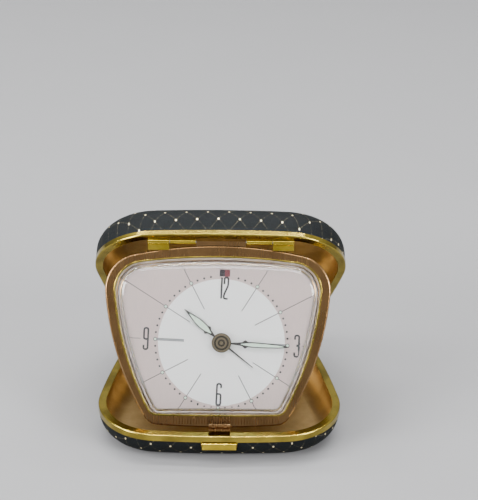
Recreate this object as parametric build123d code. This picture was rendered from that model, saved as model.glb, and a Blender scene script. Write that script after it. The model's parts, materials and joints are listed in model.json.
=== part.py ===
from build123d import *
import os
from math import cos, hypot, radians, sin

# Folding travel alarm clock. Millimetres, +Z up, front towards -Y.
# The origin is the centre of the flat underside of the lower shell.

# Shells of the case, measured from the hinge line between them
front_reach = 80.0
hinge_gap = 1.5
lower_corner_half = 50.5
lower_rear_half = 35.8
upper_corner_half = 52.9
upper_rear_half = 37.6
side_bulge = 2.3
front_bow = 3.4
rear_bow = 0.3
lower_front_radius = 24.0
upper_front_radius = 25.5
rear_corner_radius = 12.0
lower_depth = 12.5
upper_depth = 15.5
shell_edge_radius = 9.5
cover_thickness = 0.8
pan_thickness = 0.6
lower_rim_band = 2.6
upper_rim_band = 2.1
rim_proud = 0.25
rim_rounding = 0.5
flange_width = 2.85
flange_thickness = 0.6
rear_flange_width = 1.5
rear_notch_half = 31.0
overrun = 1.0

# Rear hinge between the shells
knuckle_radius = 1.2
rear_pin_radius = 0.6
running_gap = 0.05
knuckle_length = 9.0
knuckle_gap = 0.3
hinge_offset = 20.0
leaf_thickness = 0.6
leaf_drop = 2.2

# Latch at the front of the lower shell
button_width = 13.4
button_height = 3.0
button_proud = 1.2
button_drop = 2.75
button_rounding = 0.5
latch_gap = 0.3
hook_width = 8.4
hook_thickness = 0.7
hook_rise = 3.3
hook_drop = 7.2
tooth_reach = 1.0
tooth_rise = 0.9
tooth_height = 0.9
stop_width = 16.0
stop_thickness = 1.0
stop_rise = 1.0
latch_rivet_radius = 0.55
latch_rivet_height = 0.3
latch_rivet_spacing = 4.6
tooth_gap = 0.1
spring_width = 5.0
spring_thickness = 0.3
spring_foot = 4.0
spring_lean = 6.2
spring_rise = 4.2

# Rest pose: the upper shell leans forward and the clock hangs out of it
fold_angle = 57.9
clock_lean = 26.0
clock_hinge_setback = 5.2

# Clock hinge
clock_pin_radius = 0.5
clock_knuckle_radius = 1.1
bracket_roll_radius = 1.3
shell_knuckle_start = 9.9
shell_knuckle_end = 19.8
bracket_start = 20.1
bracket_end = 28.3
tab_thickness = 0.6
bracket_leaf = 0.45
bracket_leaf_drop = 3.3
bracket_rivet_radius = 0.45
bracket_rivet_height = 0.3
bracket_rivet_drop = 2.45
bracket_rivet_inset = 1.8
strap_rise = 0.2
strap_half = 9.6
strap_thickness = 0.6
strap_dot_radius = 0.4

# Bezel, in heights above its lowest point
bezel_foot_gap = 2.3
bezel_hinge_gap = 1.5
bezel_shift = -1.0
bezel_corner_x = 44.2
bezel_corner_drop = 6.7
bezel_side_x = 40.6
bezel_side_share = 0.4714
bezel_foot_x = 26.5
bezel_foot_height = 1.2
bezel_corner_radius = 14.0
bezel_foot_radius = 6.0
bezel_depth = 4.0
bezel_sheet = 0.8
bezel_rounding = 0.7
face_top = 4.7
face_side = 4.1
face_bottom = 5.1
face_corner_drop = 1.5
face_foot_inset = 1.1
face_foot_rise = 4.2
window_corner_radius = 11.0
window_foot_radius = 3.5
lip_width = 0.7
lip_height = 0.5
lip_rounding = 0.2
flute_pitch = 1.1
flute_half = 25.0
flute_start = 1.4
flute_end = 4.5
flute_height = 0.3
flute_base = 0.1
flute_share = 0.3

# Crystal, dial and case pan
crystal_gap = 0.05
crystal_rise = 6.3
crystal_wall = 1.3
crystal_lean_share = 0.16
crystal_rounding = 1.8
crystal_flange = 1.5
crystal_flange_thickness = 1.0
dial_thickness = 0.4
dial_share = 0.469
dial_shift = 0.5
dial_tilt = 2.4
pan_border = 1.0
panel_thickness = 0.6
can_foot_gap = 6.2
can_wall = 0.6
back_thickness = 0.6
dial_hole_radius = 2.3
flag_window_width = 4.1
flag_window_height = 2.5
flag_window_drop = 6.1

# Movement plates, in depths behind the face of the bezel
front_plate_depth = 5.0
front_plate_thickness = 0.9
plate_space = 4.0
back_plate_thickness = 0.8
back_plate_gap = 2.1
back_gap = 0.5
pillar_radius = 1.2
pillar_inset = 4.3
pillar_angles = (52.0, 145.0, 215.0, 310.0)
screw_radius = 0.6
screw_head_radius = 1.3
screw_head_height = 0.4
screw_length = 1.8
pivot_radius = 0.4

# Wheelwork
fine_module = 0.3
coarse_module = 0.4
addendum_share = 0.8
dedendum_share = 1.15
wheel_tooth_share = 0.38
pinion_tooth_share = 0.30
tip_share = 0.45
root_share = 1.25
centre_wheel_teeth = 64
third_wheel_teeth = 60
fourth_wheel_teeth = 64
train_pinion_leaves = 8
barrel_teeth = 48
centre_pinion_leaves = 12
alarm_barrel_teeth = 36
third_angle = 110.0
fourth_angle = -5.0
escape_angle = -22.0
pallet_angle = -85.0
balance_angle = -100.0
pallet_distance = 5.6
balance_distance = 7.2
barrel_angle = 190.0
alarm_barrel_place = (3.5, -15.0)
escape_teeth = 15
escape_radius = 4.0
escape_root_radius = 3.0
balance_radius = 5.4
balance_rim = 0.8
wheel_thickness = 0.4
arbor_radius = 0.5
centre_arbor_radius = 0.6
tube_wall = 0.4
barrel_arbor_radius = 1.1
barrel_height = 2.1
barrel_wall = 0.6
pallet_arm_width = 0.6
pallet_span = 3.4
pallet_reach_share = 0.28
fork_share = 0.72
hairspring_turns = 3
hairspring_steps = 12
hairspring_pitch = 0.9
hairspring_width = 0.2

# Depths of the wheels behind the face of the bezel
centre_wheel_depth = 6.2
third_wheel_depth = 6.9
barrel_depth = 7.6
fourth_wheel_depth = 8.4
escape_wheel_depth = 9.3
balance_depth = 8.7
hairspring_depth = 7.9
pinion_margin = 0.1

# Motion work in front of the front plate
cannon_teeth = 12
minute_wheel_teeth = 36
minute_pinion_leaves = 10
hour_wheel_teeth = 40
alarm_wheel_teeth = 48
alarm_pinion_leaves = 12
minute_wheel_angle = 20.0
alarm_set_angle = 246.0
cannon_depth = 4.4
hour_wheel_depth = 3.65
alarm_wheel_depth = 2.85
ratchet_radius = 2.9
ratchet_teeth = 12
ratchet_root_share = 0.78
ratchet_depth = 4.5
click_gap = 0.15
click_length = 3.0
click_width = 1.0

# Hands, in heights in front of the dial
hand_thickness = 0.25
alarm_hand_rise = 0.35
hour_hand_rise = 0.95
minute_hand_rise = 1.8
hub_radius = 3.8
hub_height = 0.7
hub_rounding = 0.3
hub_step_share = 0.78
boss_radius = 2.6
stem_half = 0.42
tip_half = 0.14
hour_hand_length = 19.4
hour_leaf_half = 1.5
minute_hand_length = 26.3
minute_leaf_half = 1.08
alarm_hand_length = 15.8
alarm_hand_half = 0.42
hour_hand_angle = 309.3
minute_hand_angle = 91.0
alarm_hand_angle = 125.9

# Outlines of the hands, as shares of the length and of the half width of the leaf
hour_leaf_shares = ((0.18, 0.2), (0.29, 0.53), (0.41, 0.87), (0.54, 1.0),
                    (0.65, 0.92), (0.78, 0.6), (0.89, 0.3), (1.0, 0.07))
hour_barb_shares = ((0.32, 0.55), (0.37, 1.22), (0.43, 0.85))
hour_lume_shares = ((0.28, 0.07), (0.41, 0.6), (0.54, 0.74), (0.65, 0.66), (0.77, 0.35), (0.86, 0.06))
minute_leaf_shares = ((0.13, 0.25), (0.27, 0.56), (0.36, 0.88), (0.46, 1.0),
                      (0.65, 0.93), (0.84, 0.69), (0.95, 0.35), (1.0, 0.1))
minute_barb_shares = ((0.3, 0.6), (0.35, 1.55), (0.4, 0.85))
minute_lume_shares = ((0.29, 0.08), (0.37, 0.46), (0.46, 0.62), (0.65, 0.56), (0.84, 0.33), (0.92, 0.07))

# Knobs, keys and alarm parts
knob_start_gap = 0.25
knob_height = 1.4
time_knob_radius = 3.0
alarm_knob_radius = 2.1
knob_rib_depth = 0.25
knob_ribs = 18
key_half = 4.4
key_width = 2.2
key_rounding = 1.0
hammer_place = (-9.5, -17.0)
hammer_reach = 6.2
hammer_angle = 194.0
hammer_tail = 4.2
hammer_tail_angle = 20.0
hammer_head_radius = 1.0
hammer_width = 0.8
flag_reach = 6.4
stop_arbor_radius = 0.7
flag_width = 9.0
flag_height = 3.4
flag_thickness = 0.4
flag_depth = 2.7
flag_arm_width = 1.4
stop_lever_length = 5.0
stop_lever_thickness = 0.8

# Derived places
hinge_y = (front_reach + hinge_gap) / 2
hinge_z = lower_depth
clock_hinge_reach = front_reach - clock_hinge_setback
bezel_drop = clock_hinge_reach - bezel_foot_gap
bezel_height = bezel_drop - bezel_hinge_gap
bezel_corner_height = bezel_height - bezel_corner_drop
bezel_side_height = bezel_height * bezel_side_share
dial_height = bezel_height * dial_share
dial_drop = bezel_drop - dial_height
flag_window_reach = bezel_height - dial_height - face_top - flag_window_drop
stop_reach = flag_window_reach - flag_reach
can_radius = dial_height - can_foot_gap
back_plate_radius = can_radius - back_plate_gap
pillar_reach = can_radius - pillar_inset
dial_depth = bezel_sheet + crystal_flange_thickness
panel_depth = bezel_depth - panel_thickness
back_plate_depth = front_plate_depth + front_plate_thickness + plate_space
back_depth = back_plate_depth + back_plate_thickness + back_gap
knob_depth = back_depth + back_thickness + knob_start_gap
wall_thickness = cover_thickness + pan_thickness
hook_front = front_reach - flange_width - latch_gap
hook_back = hook_front - hook_thickness
button_low = -button_drop - button_height
stop_front = front_reach - wall_thickness - latch_gap


# Shells, drawn closed and dished upwards, with the rim plane at zero height

def circle_through(first, second, third):
    """Centre and radius of the circle through three points."""
    ax, ay = second[0] - first[0], second[1] - first[1]
    bx, by = third[0] - first[0], third[1] - first[1]
    cross = 2 * (ax * by - ay * bx)
    a_square = ax * ax + ay * ay
    b_square = bx * bx + by * by
    ux = (by * a_square - ay * b_square) / cross
    uy = (ax * b_square - bx * a_square) / cross
    return (first[0] + ux, first[1] + uy), hypot(ux, uy)


def crossing(first, second, near):
    """Point nearest to a given one where two circles cross."""
    (x1, y1), r1 = first
    (x2, y2), r2 = second
    dx, dy = x2 - x1, y2 - y1
    span = hypot(dx, dy)
    along = (r1 * r1 - r2 * r2 + span * span) / (2 * span)
    aside = (r1 * r1 - along * along) ** (1 / 2)
    foot = (x1 + along * dx / span, y1 + along * dy / span)
    choices = []
    for side in (-1, 1):
        choices.append((foot[0] - side * aside * dy / span, foot[1] + side * aside * dx / span))
    return min(choices, key=lambda point: hypot(point[0] - near[0], point[1] - near[1]))


def bowed_plan(corners, middles, radii, inset):
    """Rounded outline of outward-bowed sides, drawn an inset inside its true edge."""
    count = len(corners)
    sides = []
    for index in range(count):
        centre, radius = circle_through(corners[index], middles[index], corners[(index + 1) % count])
        sides.append((centre, radius - inset))
    points = [crossing(sides[index - 1], sides[index], corners[index]) for index in range(count)]
    with BuildSketch() as plan:
        with BuildLine():
            for index in range(count):
                centre, radius = sides[index]
                reach = hypot(middles[index][0] - centre[0], middles[index][1] - centre[1])
                share = radius / reach
                middle = (
                    centre[0] + (middles[index][0] - centre[0]) * share,
                    centre[1] + (middles[index][1] - centre[1]) * share,
                )
                ThreePointArc(points[index], middle, points[(index + 1) % count])
        make_face()
        for point, radius in zip(points, radii):
            nearest = plan.vertices().sort_by_distance((point[0], point[1], 0))[0]
            fillet(nearest, radius - inset)
    return plan.sketch


def shell_plan(corner_half, rear_half, front_radius, inset):
    """Outline of a shell with its hinge line along X."""
    corner_y = front_bow - front_reach
    rear_y = -hinge_gap - rear_bow
    side_x = (corner_half + rear_half) / 2 + side_bulge
    side_y = (corner_y + rear_y) / 2
    corners = [(-corner_half, corner_y), (corner_half, corner_y), (rear_half, rear_y), (-rear_half, rear_y)]
    middles = [(0, -front_reach), (side_x, side_y), (0, -hinge_gap), (-side_x, side_y)]
    radii = (front_radius, front_radius, rear_corner_radius, rear_corner_radius)
    return bowed_plan(corners, middles, radii, inset)


def lower_plan(inset=0.0):
    return shell_plan(lower_corner_half, lower_rear_half, lower_front_radius, inset)


def upper_plan(inset=0.0):
    return shell_plan(upper_corner_half, upper_rear_half, upper_front_radius, inset)


def dish(plan, depth, edge_radius):
    """Solid cushion over a plan, rounded along its far edge."""
    block = extrude(plan, depth)
    return fillet(block.faces().sort_by(Axis.Z)[-1].edges(), edge_radius)


def shell_cover(plan, depth, rim_band):
    """Outer skin of a shell beyond the rim band."""
    outer = dish(plan(), depth, shell_edge_radius)
    inner = dish(plan(cover_thickness), depth - cover_thickness, shell_edge_radius - cover_thickness)
    band = extrude(plan(-overrun), rim_band)
    return outer - inner - band


def shell_pan(plan, depth):
    """Sheet lining of a shell, up to the underside of the rim flange."""
    outer = dish(plan(cover_thickness), depth - cover_thickness, shell_edge_radius - cover_thickness)
    inner = dish(plan(wall_thickness), depth - wall_thickness, shell_edge_radius - wall_thickness)
    flange = extrude(plan(-overrun), flange_thickness)
    return outer - inner - flange


def shell_rim(plan, rim_band):
    """Brass band round the mouth with a flat flange turned inwards."""
    outer = extrude(plan(-rim_proud), rim_band)
    outer = fillet(outer.faces().sort_by(Axis.Z)[0].edges(), rim_rounding)
    behind = Pos(0, 0, flange_thickness) * extrude(plan(cover_thickness), rim_band)
    notch_start = hinge_gap + rear_flange_width
    notch_depth = flange_width + overrun
    notch = Pos(0, -notch_start - notch_depth / 2) * Rectangle(2 * rear_notch_half, notch_depth)
    mouth = plan(flange_width) + notch
    return outer - behind - extrude(mouth, rim_band)


def turned_down(shape):
    """The same shape dished downwards from the rim plane."""
    return mirror(shape, Plane.XY)


def gathered(shapes):
    """One node made of several separate solids."""
    return Compound([solid for shape in shapes for solid in shape.solids()])


# Rear hinge

def along_x(radius, start, end, bore=0.0):
    """Round bar or tube lying along X on the hinge line."""
    ring = Circle(radius)
    if bore:
        ring = ring - Circle(bore)
    return Plane.YZ.offset(start) * extrude(ring, end - start)


def rear_knuckles(side, first):
    """Leaf and knuckles of one shell; side is 1 above the rim plane and -1 below it."""
    step = knuckle_length + knuckle_gap
    bore = rear_pin_radius + running_gap
    parts = []
    for centre in (-hinge_offset, hinge_offset):
        start = centre - step / 2 + first * step - knuckle_length / 2
        tube = along_x(knuckle_radius, start, start + knuckle_length, bore)
        leaf_height = leaf_drop - knuckle_gap
        leaf = Pos(
            start + knuckle_length / 2,
            -(hinge_gap - rim_proud + knuckle_radius - leaf_thickness) / 2,
            side * (knuckle_gap + leaf_height / 2),
        ) * Box(knuckle_length, hinge_gap - rim_proud - knuckle_radius + leaf_thickness, leaf_height)
        core = along_x(knuckle_radius - running_gap, start - overrun, start + knuckle_length + overrun)
        parts.append(tube + (leaf - core))
    return gathered(parts)


def rear_pins():
    """One pin through each pair of knuckles."""
    half = knuckle_length + knuckle_gap / 2
    pins = [along_x(rear_pin_radius, centre - half, centre + half) for centre in (-hinge_offset, hinge_offset)]
    return gathered(pins)


# Latch, in the frame of the lower shell

def block(x_size, front, back, low, high):
    """Box centred on X between two distances in front of the hinge line and two heights."""
    return Pos(0, -(front + back) / 2, (low + high) / 2) * Box(x_size, front - back, high - low)


def latch_slot():
    """Opening through the front wall for the push button."""
    return block(button_width + 2 * latch_gap, front_reach + overrun, front_reach - wall_thickness - overrun,
                 button_low - latch_gap, -button_drop + latch_gap)


def latch_button():
    """Push bar with a wide heel that stops behind the front wall."""
    bar = block(button_width, front_reach + button_proud, stop_front - stop_thickness, button_low, -button_drop)
    bar = fillet(bar.faces().sort_by(Axis.Y)[0].edges(), button_rounding)
    heel = block(stop_width, stop_front, stop_front - stop_thickness, button_low + stop_rise, -button_drop)
    neck = block(hook_width, stop_front - stop_thickness, hook_front, button_low, -button_drop)
    return bar + heel + neck


def latch_hook():
    """Upright plate with a tooth that catches the upper flange and two small rivet heads."""
    plate = block(hook_width, hook_front, hook_back, -hook_drop, hook_rise)
    tooth = block(hook_width, hook_front + tooth_reach, hook_front, tooth_rise, tooth_rise + tooth_height)
    hook = plate + tooth
    for side in (-1, 1):
        head = Plane.XZ * Cylinder(latch_rivet_radius, 2 * latch_rivet_height)
        height = tooth_rise + tooth_height + latch_rivet_radius + tooth_gap
        hook = hook + Pos(side * latch_rivet_spacing / 2, -hook_front, height) * head
    return hook


def latch_spring():
    """Bent leaf spring from the floor of the lower shell to the hook plate."""
    floor = wall_thickness - lower_depth
    foot_front = hook_back - spring_lean
    path = [
        (-(foot_front - spring_foot), floor),
        (-foot_front, floor),
        (-hook_back, floor + spring_rise),
        (-hook_back, floor + spring_rise + spring_thickness),
        (-hook_back + spring_thickness, floor + spring_rise + spring_thickness),
        (-foot_front + spring_thickness, floor + spring_thickness),
        (-(foot_front - spring_foot), floor + spring_thickness),
    ]
    profile = Plane.YZ * make_face(Polyline(*path, close=True))
    return extrude(profile, spring_width / 2, both=True)


# Clock case, in the clock's frame: hinge line along X at the origin, +Y up the dial, +Z out of it

def keystone(top, corner, side, foot, bottom, corner_radius, foot_radius, inset):
    """Rounded trapezium with bowed sides, from heights above the lowest point of the bezel."""
    def place(x, height):
        return (x + bezel_shift, height - bezel_drop)

    corners = [place(-corner[0], corner[1]), place(*corner), place(*foot), place(-foot[0], foot[1])]
    middles = [place(0, top), place(*side), place(0, bottom), place(-side[0], side[1])]
    radii = (corner_radius, corner_radius, foot_radius, foot_radius)
    return bowed_plan(corners, middles, radii, inset)


def outer_edge(inset=0.0):
    """Outer edge of the bezel."""
    return keystone(bezel_height, (bezel_corner_x, bezel_corner_height), (bezel_side_x, bezel_side_height),
                    (bezel_foot_x, bezel_foot_height), 0, bezel_corner_radius, bezel_foot_radius, inset)


def window_edge(inset=0.0):
    """Edge of the opening that the crystal fills."""
    corner = (bezel_corner_x - face_side, bezel_corner_height - face_corner_drop)
    side = (bezel_side_x - face_side, bezel_side_height)
    foot = (bezel_foot_x - face_foot_inset, bezel_foot_height + face_foot_rise)
    return keystone(bezel_height - face_top, corner, side, foot, face_bottom,
                    window_corner_radius, window_foot_radius, inset)


def seat_edge(inset=0.0):
    """Edge of the seat of crystal and dial behind the face of the bezel."""
    return window_edge(inset - crystal_flange)


def sunk(plan, depth, thickness):
    """Plate over a plan whose front lies at a depth behind the face of the bezel."""
    return Pos(0, 0, -depth) * extrude(plan, -thickness)


def bezel():
    """Pressed frame: flat face with an open back."""
    ring = sunk(outer_edge(), 0, bezel_depth)
    ring = fillet(ring.faces().sort_by(Axis.Z)[-1].edges(), bezel_rounding)
    ring = ring - sunk(outer_edge(bezel_sheet), bezel_sheet, bezel_depth)
    return ring - sunk(window_edge(), -overrun, bezel_depth)


def bezel_lip():
    """Bright raised bead round the window."""
    bead = extrude(window_edge(-lip_width) - window_edge(), lip_height)
    return fillet(bead.faces().sort_by(Axis.Z)[-1].edges(), lip_rounding)


def bezel_flutes():
    """Row of fine upright ribs along the lower side of the bezel."""
    count = int(2 * flute_half / flute_pitch)
    points = [(-flute_half, 0), (-flute_half, flute_base)]
    for rib in range(count):
        x = -flute_half + rib * flute_pitch
        points.append((x + flute_pitch * flute_share, flute_base))
        points.append((x + flute_pitch / 2, flute_height))
        points.append((x + flute_pitch * (1 - flute_share), flute_base))
    points.append((flute_half, flute_base))
    points.append((flute_half, 0))
    profile = Plane.XZ * make_face(Polyline(*points, close=True))
    comb = Pos(bezel_shift, flute_start - bezel_drop, 0) * extrude(profile, flute_start - flute_end)
    inner = outer_edge(bezel_rounding + flute_base) - window_edge(-lip_width - flute_base)
    return comb & extrude(inner, flute_height + overrun)


def dome_block(inset, low, high):
    """Block between two heights whose sides lean inwards."""
    base = Pos(0, 0, low) * window_edge(inset)
    lean = (high - low) * crystal_lean_share
    return loft([base, Pos(0, 0, high) * window_edge(inset + lean)])


def crystal():
    """Thick clear dome with steep sides and a flange held under the bezel."""
    seat = bezel_sheet + crystal_flange_thickness
    dome = dome_block(crystal_gap, -bezel_sheet, crystal_rise)
    dome = fillet(dome.faces().sort_by(Axis.Z)[-1].edges(), crystal_rounding)
    flange = sunk(seat_edge(crystal_gap), bezel_sheet, crystal_flange_thickness)
    hollow = dome_block(crystal_gap + crystal_wall, -seat - overrun, crystal_rise - crystal_wall)
    return dome + flange - hollow


def around(reach, angle, centre=(0, 0)):
    """Point at a distance and an anticlockwise angle from a centre."""
    return (centre[0] + reach * cos(radians(angle)), centre[1] + reach * sin(radians(angle)))


def on_dial(reach, clock_angle):
    """Point at a clockwise angle from twelve on the tilted dial."""
    return around(reach, 90 - clock_angle - dial_tilt)


def in_movement(shape):
    """Moves a shape from the centre of the dial to its place on the clock."""
    return Pos(dial_shift, -dial_drop, 0) * shape


def at_dial(place):
    """Location on the clock of a point given from the centre of the dial."""
    return Pos(place[0] + dial_shift, place[1] - dial_drop, 0)


def dial():
    """Dial plate with its centre hole and the alarm window at twelve."""
    plate = sunk(seat_edge(crystal_gap), dial_depth, dial_thickness)
    hole = in_movement(sunk(Circle(dial_hole_radius), dial_depth - overrun, dial_thickness + 2 * overrun))
    window = Rot(0, 0, -dial_tilt) * Rectangle(flag_window_width, flag_window_height)
    cut = at_dial(on_dial(flag_window_reach, 0)) * sunk(window, dial_depth - overrun, dial_thickness + 2 * overrun)
    return plate - hole - cut


def case_pan():
    """Back panel of the clock with a border under the dial and a round can behind it."""
    panel = sunk(outer_edge(bezel_sheet + crystal_gap), panel_depth, panel_thickness)
    border_depth = dial_depth + dial_thickness
    border_ring = seat_edge() - seat_edge(pan_border)
    border = sunk(border_ring, border_depth, panel_depth - border_depth)
    inside = can_radius - can_wall
    hole = in_movement(sunk(Circle(inside), border_depth, bezel_depth))
    wall = in_movement(sunk(Circle(can_radius) - Circle(inside), panel_depth, back_depth - panel_depth))
    return panel + border - hole + wall


# Movement, with the centre of the dial at the origin

def turned(radius, depth, length, place=(0, 0), bore=0.0):
    """Round piece along the depth of the clock, with an optional bore."""
    blank = Circle(radius)
    if bore:
        blank = blank - Circle(bore)
    return Pos(place[0], place[1], -depth) * extrude(blank, -length)


def pitch_radius(teeth, module):
    return teeth * module / 2


def gear(teeth, module, depth, thickness, share, place=(0, 0), phase=0.0, bore=0.0):
    """Toothed disc with one tooth pointing along the phase angle."""
    tip = pitch_radius(teeth, module) + addendum_share * module
    root = pitch_radius(teeth, module) - dedendum_share * module
    pitch_angle = 360 / teeth
    half = share * pitch_angle / 2
    points = []
    for tooth in range(teeth):
        middle = phase + tooth * pitch_angle
        points.append(around(root, middle - half * root_share))
        points.append(around(tip, middle - half * tip_share))
        points.append(around(tip, middle + half * tip_share))
        points.append(around(root, middle + half * root_share))
    blank = make_face(Polyline(*points, close=True))
    if bore:
        blank = blank - Circle(bore)
    return Pos(place[0], place[1], -depth) * extrude(blank, -thickness)


def meshing(teeth, angle):
    """Phase that turns a gap between teeth towards a partner lying at an angle."""
    return angle + 180 / teeth


third_place = around(pitch_radius(centre_wheel_teeth + train_pinion_leaves, fine_module), third_angle)
fourth_place = around(pitch_radius(third_wheel_teeth + train_pinion_leaves, fine_module),
                      fourth_angle, third_place)
escape_place = around(pitch_radius(fourth_wheel_teeth + train_pinion_leaves, fine_module),
                      escape_angle, fourth_place)
pallet_place = around(pallet_distance, pallet_angle, escape_place)
balance_place = around(balance_distance, balance_angle, pallet_place)
barrel_place = around(pitch_radius(barrel_teeth + centre_pinion_leaves, coarse_module), barrel_angle)
minute_wheel_place = around(pitch_radius(cannon_teeth + minute_wheel_teeth, coarse_module),
                            minute_wheel_angle)
alarm_set_place = around(pitch_radius(alarm_wheel_teeth + alarm_pinion_leaves, coarse_module), alarm_set_angle)
stop_place = on_dial(stop_reach, 0)
hour_module = coarse_module * (cannon_teeth + minute_wheel_teeth) / (minute_pinion_leaves + hour_wheel_teeth)

minute_arbor_gap = centre_arbor_radius + running_gap
cannon_radius = centre_arbor_radius + tube_wall
hour_bore = cannon_radius + 2 * running_gap
hour_tube_radius = hour_bore + tube_wall
alarm_bore = hour_tube_radius + 2 * running_gap
alarm_tube_radius = alarm_bore + tube_wall
pivot_bore = pivot_radius + running_gap
space_depth = front_plate_depth + front_plate_thickness
pivot_places = (third_place, fourth_place, escape_place, pallet_place, balance_place, hammer_place)
barrel_places = (barrel_place, alarm_barrel_place)


def pillar_places():
    return [around(pillar_reach, angle) for angle in pillar_angles]


def drilled(plate, depth, thickness):
    """Cuts the holes that both movement plates share."""
    deep = thickness + 2 * overrun
    start = depth - overrun
    for place in pivot_places:
        plate = plate - turned(pivot_bore, start, deep, place)
    for place in barrel_places:
        plate = plate - turned(barrel_arbor_radius + running_gap, start, deep, place)
    for place in pillar_places():
        plate = plate - turned(screw_radius + running_gap, start, deep, place)
    plate = plate - turned(cannon_radius + tube_wall, start, deep)
    plate = plate - turned(centre_arbor_radius + running_gap, start, deep, alarm_set_place)
    return plate - turned(stop_arbor_radius + running_gap, start, deep, stop_place)


def front_plate():
    """Front movement plate, seated in the can, with the post of the minute wheel."""
    plate = turned(can_radius - can_wall, front_plate_depth, front_plate_thickness)
    plate = drilled(plate, front_plate_depth, front_plate_thickness)
    post_length = front_plate_depth - hour_wheel_depth
    post = turned(arbor_radius, hour_wheel_depth, post_length + front_plate_thickness / 2, minute_wheel_place)
    return plate + post


def back_plate():
    """Back movement plate."""
    plate = turned(back_plate_radius, back_plate_depth, back_plate_thickness)
    return drilled(plate, back_plate_depth, back_plate_thickness)


def pillars():
    """Four posts that hold the plates apart."""
    bore = screw_radius + running_gap
    posts = [turned(pillar_radius, space_depth, plate_space, place, bore) for place in pillar_places()]
    return gathered(posts)


def screw(depth, length, place, direction):
    """Cheese-head screw whose head sits on a face at a depth; direction 1 points backwards."""
    if direction > 0:
        head = turned(screw_head_radius, depth - screw_head_height, screw_head_height, place)
        shank = turned(screw_radius, depth, length, place)
    else:
        head = turned(screw_head_radius, depth, screw_head_height, place)
        shank = turned(screw_radius, depth - length, length, place)
    return head + shank


def plate_screws():
    """Four screws through the front plate into the pillars."""
    length = front_plate_thickness + screw_length
    return gathered([screw(front_plate_depth, length, place, 1) for place in pillar_places()])


def back_screws():
    """Four screws through the back cover and back plate into the pillars."""
    face = back_depth + back_thickness
    length = face - back_plate_depth + screw_length
    return gathered([screw(face, length, place, -1) for place in pillar_places()])


def back_cover():
    """Round back of the can with the holes for the keys and knobs."""
    cover = turned(can_radius, back_depth, back_thickness)
    start = back_depth - overrun
    deep = back_thickness + 2 * overrun
    cover = cover - turned(centre_arbor_radius + running_gap, start, deep)
    cover = cover - turned(centre_arbor_radius + running_gap, start, deep, alarm_set_place)
    cover = cover - turned(stop_arbor_radius + running_gap, start, deep, stop_place)
    for place in barrel_places:
        cover = cover - turned(barrel_arbor_radius + running_gap, start, deep, place)
    for place in pillar_places():
        cover = cover - turned(screw_radius + running_gap, start, deep, place)
    return cover


def pivoted_arbor(place):
    """Thin arbor that runs in both plates."""
    length = back_plate_depth + back_plate_thickness - front_plate_depth
    return turned(pivot_radius, front_plate_depth, length, place)


def centre_wheel():
    """Centre wheel, its tube and the pinion that the barrel drives."""
    wheel = gear(centre_wheel_teeth, fine_module, centre_wheel_depth, wheel_thickness, wheel_tooth_share,
                 phase=third_angle, bore=minute_arbor_gap)
    pinion = gear(centre_pinion_leaves, coarse_module, barrel_depth - pinion_margin,
                  wheel_thickness + 2 * pinion_margin, pinion_tooth_share,
                  phase=meshing(centre_pinion_leaves, barrel_angle), bore=minute_arbor_gap)
    start = space_depth + pinion_margin
    tube = turned(cannon_radius, start, plate_space - 2 * pinion_margin, bore=minute_arbor_gap)
    return wheel + pinion + tube


def train_wheel(place, wheel_teeth, wheel_depth, wheel_phase, mesh_depth, mesh_angle):
    """Arbor with a wheel and the small pinion that the wheel before it drives."""
    arbor = pivoted_arbor(place)
    wheel = gear(wheel_teeth, fine_module, wheel_depth, wheel_thickness, wheel_tooth_share, place, wheel_phase)
    pinion = gear(train_pinion_leaves, fine_module, mesh_depth - pinion_margin,
                  wheel_thickness + 2 * pinion_margin, pinion_tooth_share, place,
                  meshing(train_pinion_leaves, mesh_angle))
    return arbor + wheel + pinion


def third_wheel():
    return train_wheel(third_place, third_wheel_teeth, third_wheel_depth, fourth_angle,
                       centre_wheel_depth, third_angle + 180)


def fourth_wheel():
    return train_wheel(fourth_place, fourth_wheel_teeth, fourth_wheel_depth, escape_angle,
                       third_wheel_depth, fourth_angle + 180)


def escape_wheel():
    """Escape wheel with pointed teeth and its pinion."""
    points = []
    for tooth in range(escape_teeth):
        angle = pallet_angle + (tooth + 1 / 2) * 360 / escape_teeth
        points.append(around(escape_radius, angle))
        points.append(around(escape_root_radius, angle + 360 / escape_teeth / 2))
    blank = make_face(Polyline(*points, close=True))
    wheel = Pos(escape_place[0], escape_place[1], -escape_wheel_depth) * extrude(blank, -wheel_thickness)
    pinion = gear(train_pinion_leaves, fine_module, fourth_wheel_depth - pinion_margin,
                  wheel_thickness + 2 * pinion_margin, pinion_tooth_share, escape_place,
                  meshing(train_pinion_leaves, escape_angle + 180))
    return pivoted_arbor(escape_place) + wheel + pinion


def bar(place, reach, angle, width, depth, thickness):
    """Flat bar from a place outwards at an angle."""
    strip = Pos(reach / 2, 0) * Rectangle(reach, width)
    return Pos(place[0], place[1], -depth) * Rot(0, 0, angle) * extrude(strip, -thickness)


def pallet_fork():
    """Lever with two pallets facing the escape wheel and a fork towards the balance."""
    towards_escape = pallet_angle + 180
    fork = bar(pallet_place, balance_distance * fork_share, balance_angle, pallet_arm_width,
               escape_wheel_depth, wheel_thickness)
    left = bar(pallet_place, pallet_span / 2, towards_escape + 90, pallet_arm_width,
               escape_wheel_depth, wheel_thickness)
    right = bar(pallet_place, pallet_span / 2, towards_escape - 90, pallet_arm_width,
                escape_wheel_depth, wheel_thickness)
    stub_left = bar(around(pallet_span / 2, towards_escape + 90, pallet_place), pallet_span * pallet_reach_share,
                    towards_escape, pallet_arm_width, escape_wheel_depth, wheel_thickness)
    stub_right = bar(around(pallet_span / 2, towards_escape - 90, pallet_place), pallet_span * pallet_reach_share,
                     towards_escape, pallet_arm_width, escape_wheel_depth, wheel_thickness)
    return pivoted_arbor(pallet_place) + fork + left + right + stub_left + stub_right


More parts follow.
